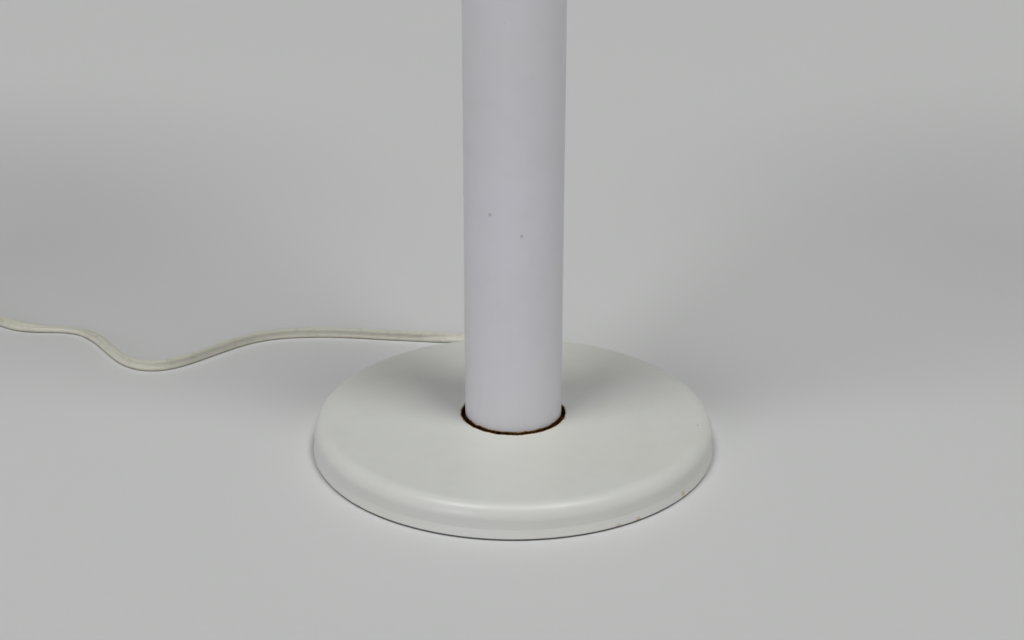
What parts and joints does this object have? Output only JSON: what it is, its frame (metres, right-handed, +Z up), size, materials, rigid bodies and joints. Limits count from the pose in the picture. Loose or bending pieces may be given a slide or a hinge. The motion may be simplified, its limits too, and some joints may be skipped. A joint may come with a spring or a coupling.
{
  "type": "torchiere floor lamp",
  "caption": "Torchiere floor lamp: white enamelled disc base, straight tubular column, uplight bowl, turn switch and flat cord with plug.",
  "frame": {"origin": "on the column's axis at the underside of the base pad, where the lamp stands on the floor", "axes": "+Z up along the column, -Y to the side that carries the switch knob, +Y to the side where the cord leaves the base"},
  "size_m": [0.6747, 0.3997, 1.782],
  "materials": {
    "enamel": "glossy white enamel on sheet steel, chipped and rusty round the column's foot",
    "cast_iron": "rough cast iron, lightly rusted",
    "felt": "dark felt",
    "zinc_steel": "zinc-plated steel",
    "brass": "lacquered brass",
    "phenolic": "black moulded phenolic",
    "liner": "vulcanised fibre card",
    "bulb_cap": "pressed aluminium screw cap",
    "bulb_glass": "frosted white glass",
    "knob": "white moulded plastic",
    "cord": "cream PVC, flat two-wire cord",
    "cord_fittings": "cream moulded PVC"
  },
  "bodies": {
    "lamp": {"base_cover": "enamel", "base_weight": "cast_iron", "base_pad": "felt", "cover_studs": "zinc_steel", "cover_nuts": "zinc_steel", "column": "enamel", "foot_plug": "zinc_steel", "foot_screws": "zinc_steel", "column_cap": "enamel", "stem": "brass", "stem_nut": "zinc_steel", "bowl_neck": "enamel", "bowl": "enamel", "bowl_washer": "zinc_steel", "bowl_nut": "zinc_steel", "socket_cap": "brass", "socket_shell": "brass", "socket_liner": "liner", "socket_block": "phenolic", "screw_shell": "brass", "centre_contact": "brass", "bulb_cap": "bulb_cap", "bulb_glass": "bulb_glass", "switch_body": "phenolic", "switch_bushing": "zinc_steel", "switch_washer": "zinc_steel", "switch_nut": "zinc_steel", "lower_lead": "cord", "upper_lead": "cord", "cord_grommet": "cord_fittings", "cord": "cord", "cord_coil": "cord", "cord_tail": "cord", "plug_body": "cord_fittings", "plug_blades": "brass"},
    "knob": {"switch_shaft": "zinc_steel", "knob": "knob"}
  },
  "joints": [
    {"name": "knob_turn", "type": "hinge", "parent": "lamp", "child": "knob", "pos_m": [0, -0.041, 1.15], "axis": [0, 1, 0], "range_deg": [0, 300]}
  ]
}
